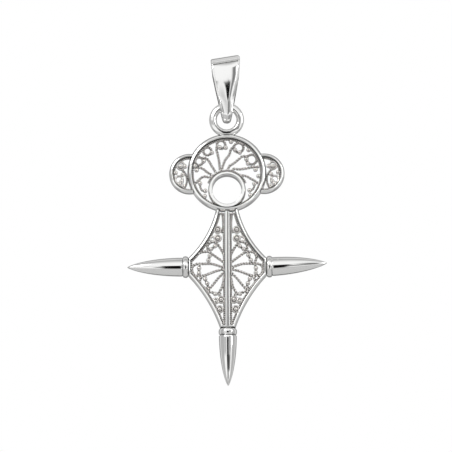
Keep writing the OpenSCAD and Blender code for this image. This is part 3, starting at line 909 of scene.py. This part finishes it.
def curves(charted, side=1):
    return [sided(side, curve_through(points)) for points in charted]


def circles(rows):
    return [circle_path(*row) for row in rows]


def filigree_piece(name, meshes, centre_x, centre_z):
    """Joins what was grown in the XY plane, stands it up facing the front and moves it to its place."""
    joined = bmesh.new()
    for mesh in meshes:
        joined.from_mesh(mesh)
    stand = Matrix(((1, 0, 0, centre_x * MM), (0, 0, -1, 0), (0, 1, 0, centre_z * MM), (0, 0, 0, 1)))
    bmesh.ops.transform(joined, matrix=stand, verts=joined.verts)
    mesh = bpy.data.meshes.new(name)
    joined.to_mesh(mesh)
    joined.free()
    mesh.shade_smooth()
    return placed(name, mesh, WIRE_SILVER)


def head_filigree():
    hole_w = centre_ring_z - head_z
    inner_r = head_r - HEAD_RIM_W - SEAM - SCROLL_W / 2
    base_r = centre_ring_r + SEAM + SCROLL_W / 2
    base_end = math.asin((HOLE_WIRE_FOOT - hole_w) / base_r)
    edges = [circle_path(0, 0, inner_r, steps=160),
             circle_path(0, hole_w, base_r, base_end, math.pi - base_end)]
    return [
        grow_wires(curves(HEAD_RAYS), RAY_W, RAY_TURN),
        grow_wires(curves(HEAD_SCROLLS)),
        grow_wires(edges),
        grow_wires(circles(HEAD_LOOPS), RAY_W),
        grow_grains(HEAD_GRAINS),
    ]


def ear_filigree(side):
    edge_r = ear_r - EAR_RIM_W - SEAM - SCROLL_W / 2
    opening = crossing_angle(edge_r, ear_x, head_r)
    edge = circle_path(0, 0, edge_r, opening - math.pi, math.pi - opening, 80)
    return [
        grow_wires(curves(EAR_RAYS, side)),
        grow_wires([sided(side, edge)]),
        grow_wires(circles(sided(side, EAR_LOOPS)), turn=PLAIN_TURN, tree=ROUND_WIRE),
        grow_grains(sided(side, EAR_GRAINS)),
    ]


def window_edges():
    """Paths of the edge wires round the right window: along both strips, the bar and the side plate."""
    inset = SEAM + SCROLL_W / 2
    upper, lower = side_faces(STRIP_W + inset, PLATE_T + inset, head_r + inset, EDGE_WIRE_STEPS)
    bar_x, foot_z, plate_x = BAR_W / 2 + inset, lower[-1][1], upper[-1][0]
    top_z = head_z - math.sqrt((head_r + inset) ** 2 - bar_x ** 2)
    beside_bar = [(bar_x, z) for z in evenly(foot_z, top_z, EDGE_WIRE_STEPS)]
    beside_plate = [(plate_x, upper[-1][1]), (plate_x, lower[0][1])]
    return [[(x, z - HUB_Z) for x, z in path] for path in (upper, lower, beside_bar, beside_plate)]


def body_filigree(side, petal, chord, more_grains):
    return [
        grow_wires(curves(BODY_RAYS + [petal], side), RAY_W, RAY_TURN),
        grow_wires(curves(BODY_SCROLLS + [chord], side)),
        grow_wires([sided(side, path) for path in window_edges()]),
        grow_wires(circles(sided(side, BODY_LOOPS)), turn=PLAIN_TURN, tree=ROUND_WIRE),
        grow_grains(sided(side, BODY_GRAINS + more_grains)),
    ]


# Making the pieces


def make_polished(node, shape, body="cross"):
    points, faces = shape
    finish(mesh_piece(node + "_polished", points, faces, POLISHED), body, node)


def make_filigree(node, meshes, centre_x, centre_z):
    finish(filigree_piece(node + "_wirework", meshes, centre_x, centre_z), "cross", node)


make_polished("bail", bail(), "bail")
for shape in (top_ring, head_rim, centre_ring, body_frame, centre_bar):
    make_polished(shape.__name__, shape())
make_filigree("head_filigree", head_filigree(), 0, head_z)
for side, word in ((-1, "left"), (1, "right")):
    make_polished("ear_rim_" + word, ear_rim(side))
    make_filigree("ear_filigree_" + word, ear_filigree(side), side * ear_x, ear_z)
    collar, spike = side_collar_and_spike(side, word)
    make_polished("collar_" + word, collar)
    make_polished("spike_" + word, spike)
make_polished("collar_bottom", lower_turned("collar_bottom", collar_profile, COLLAR_FACETS))
make_polished("spike_bottom", lower_turned("spike_bottom", spike_profile, SPIKE_FACETS))
make_filigree("body_filigree_left", body_filigree(-1, OPEN_PETAL, OPEN_CHORD, OPEN_GRAINS), 0, HUB_Z)
make_filigree("body_filigree_right", body_filigree(1, CLOSED_PETAL, CLOSED_CHORD, CLOSED_GRAINS), 0, HUB_Z)


# Studio. Its sizes and places are in metres, and its angles in degrees.


FLOOR_Z = -0.16
FLOOR_HALF = 0.11
CAMERA_BELOW = math.radians(10)    # the camera looks up by this much
corners = [(x * FLOOR_HALF, y * FLOOR_HALF, FLOOR_Z) for x, y in ((-1, -1), (1, -1), (1, 1), (-1, 1))]
floor_mesh = bpy.data.meshes.new("floor")
floor_mesh.from_pydata(corners, [], [(0, 1, 2, 3)])
floor = placed("floor", floor_mesh, paper())

# Greys of the tent by the angle from the lens, of the floor by the height, and of the tent's sides by the turn.
TENT_GREYS = [(0, 1.0), (50, 1.0), (64, 0.82), (78, 0.58), (91, 0.42), (99, 0.42), (107, 0.72), (118, 0.70),
              (127, 0.46), (142, 0.34), (180, 0.18)]
FLOOR_GREYS = [(-90, 0.50), (-60, 0.50), (-44, 0.62), (-34, 0.52), (-27, 0.66), (-20, 1.0), (90, 1.0)]
SIDE_GREYS = [(-180, 1.0), (-78, 1.0), (-70, 0.55), (-60, 0.55), (-53, 1.0), (54, 1.0), (61, 0.58), (71, 0.50),
              (78, 1.0), (180, 1.0)]
SIDE_REACH = (0.0, 26.0, 22.0)    # middle and half of the height where they are whole, and where they fade
# The black card round the lens and the grey ones beside it: how dark it is, how much it narrows for each degree to
# the side, and its height over the lens and its turn, each as the middle, half the size and the soft edge.
CARDS = [
    (1.0, 0.12, (0.0, 17.5, 2.0), (-0.5, 10.0, 4.0)),
    (0.8, 0.0, (0.0, 5.0, 3.0), (10.0, 24.0, 6.0)),
    (0.8, 0.0, (18.0, 8.0, 8.0), (27.0, 2.0, 15.0)),
    (0.48, 0.0, (13.0, 4.0, 5.0), (-38.0, 8.0, 18.0)),
]


def band(tree, value, middle, half, soft, narrowing=0.0):
    """1 within half of the middle, falling to 0 over a soft edge, or sooner by narrowing."""
    away = add(tree, SUM, {0: value, 1: middle}, operation="SUBTRACT")
    away = add(tree, SUM, {0: away}, operation="ABSOLUTE")
    away = add(tree, SUM, {0: away, 1: narrowing}, operation="ADD")
    return add(tree, "ShaderNodeMapRange", {"Value": away, "From Min": half, "From Max": half + soft,
                                            "To Min": 1.0, "To Max": 0.0}, interpolation_type="SMOOTHSTEP")


def greys(tree, angle, rows):
    """Grey along an angle, given as (degrees, grey) rows."""
    low, high = rows[0][0], rows[-1][0]
    share = add(tree, "ShaderNodeMapRange", {"Value": angle, "From Min": low, "From Max": high})
    ramp = add(tree, "ShaderNodeValToRGB", {"Fac": share})
    stops = ramp.color_ramp.elements
    for degrees, grey in rows[1:-1]:
        stops.new((degrees - low) / (high - low)).color = (grey, grey, grey, 1)
    stops[0].color, stops[-1].color = [(grey, grey, grey, 1) for _, grey in (rows[0], rows[-1])]
    return ramp


def studio_world():
    """A white tent round the pendant, bright round the lens and greyer behind the pendant and near the floor, with
    darker patches at both sides. The cards draw the dark lines that give polished silver its form."""
    world = bpy.data.worlds.new("studio")
    scene.world = world
    world.use_nodes = True
    tree = world.node_tree
    tree.nodes.clear()
    towards = add(tree, "ShaderNodeTexCoord").outputs["Generated"]
    axes = add(tree, "ShaderNodeSeparateXYZ", {"Vector": towards}).outputs
    lens = add(tree, "ShaderNodeVectorMath", {0: towards, 1: (0.0, -math.cos(CAMERA_BELOW), -math.sin(CAMERA_BELOW))},
               operation="DOT_PRODUCT").outputs["Value"]
    ahead = add(tree, SUM, {0: axes["Y"], 1: -1.0}, operation="MULTIPLY")
    azimuth, elevation, from_lens = [
        add(tree, SUM, {0: add(tree, SUM, inputs, operation=way), 1: math.degrees(1)}, operation="MULTIPLY")
        for way, inputs in (("ARCTAN2", {0: axes["X"], 1: ahead}), ("ARCSINE", {0: axes["Z"]}),
                            ("ARCCOSINE", {0: lens}))]
    floored = add(tree, "ShaderNodeMix", {"Factor": 1.0, 6: greys(tree, from_lens, TENT_GREYS),
                                          7: greys(tree, elevation, FLOOR_GREYS)},
                  data_type="RGBA", blend_type="MULTIPLY").outputs[2]
    sides = band(tree, elevation, *SIDE_REACH)
    shaded = add(tree, "ShaderNodeMix", {"Factor": sides, 6: floored, 7: greys(tree, azimuth, SIDE_GREYS)},
                 data_type="RGBA", blend_type="MULTIPLY").outputs[2]
    height = add(tree, SUM, {0: elevation, 1: math.degrees(CAMERA_BELOW)}, operation="ADD")
    aside = add(tree, SUM, {0: azimuth}, operation="ABSOLUTE")
    cover = 0.0
    for dark, taper, heights, turns in CARDS:
        narrowing = add(tree, SUM, {0: aside, 1: taper}, operation="MULTIPLY")
        card = add(tree, SUM, {0: band(tree, height, *heights, narrowing), 1: band(tree, azimuth, *turns)},
                   operation="MULTIPLY")
        card = add(tree, SUM, {0: card, 1: dark}, operation="MULTIPLY")
        cover = add(tree, SUM, {0: cover, 1: card}, operation="MAXIMUM")
    carded = add(tree, "ShaderNodeMix", {"Factor": cover, 6: shaded, 7: linear("0C0C0C")},
                 data_type="RGBA").outputs[2]
    light = add(tree, "ShaderNodeBackground", {"Color": carded, "Strength": 1.0})
    backdrop = add(tree, "ShaderNodeBackground", {"Color": linear("FFFFFF"), "Strength": 1.0})
    seen = add(tree, "ShaderNodeLightPath").outputs["Is Camera Ray"]
    mixed = add(tree, "ShaderNodeMixShader", {0: seen, 1: light, 2: backdrop})
    add(tree, "ShaderNodeOutputWorld", {"Surface": mixed})


studio_world()


def linked(name, data, place, turn):
    thing = bpy.data.objects.new(name, data)
    thing.location = place
    thing.rotation_mode = "QUATERNION"
    thing.rotation_quaternion = turn
    scene.collection.objects.link(thing)
    return thing


def softbox(name, place, aim, size, power):
    light = bpy.data.lights.new(name, "AREA")
    light.shape = "RECTANGLE"
    light.size, light.size_y = size
    light.energy = power
    linked(name, light, place, (Vector(aim) - Vector(place)).to_track_quat("-Z", "Y"))


PENDANT_MIDDLE = (0, 0, -0.025)
softbox("left softbox", (-0.7, -0.9, 0.7), PENDANT_MIDDLE, (0.5, 0.5), 3.0)
softbox("right softbox", (0.9, -0.7, 0.3), PENDANT_MIDDLE, (0.3, 0.6), 1.5)

# Camera: looks up at the pendant from a little below, through a long lens.
VIEW_DISTANCE = 0.6
FRAME_WIDTH = 0.0678          # what the picture's 452 pixels span at the pendant, 0.15 mm each
SENSOR = 36
CAMERA_ROLL = math.radians(-0.34)
CAMERA_AIM = Vector((-0.18, 0, -25.06)) * MM
camera_data = bpy.data.cameras.new("camera")
camera_data.sensor_width = SENSOR
camera_data.lens = SENSOR * VIEW_DISTANCE / FRAME_WIDTH
camera_data.clip_start, camera_data.clip_end = 0.01, 20
back = Vector((0, -math.cos(CAMERA_BELOW), -math.sin(CAMERA_BELOW)))
rolled = Matrix.Rotation(CAMERA_ROLL, 3, back).to_quaternion() @ (-back).to_track_quat("-Z", "Y")
scene.camera = linked("camera", camera_data, CAMERA_AIM + back * VIEW_DISTANCE, rolled)
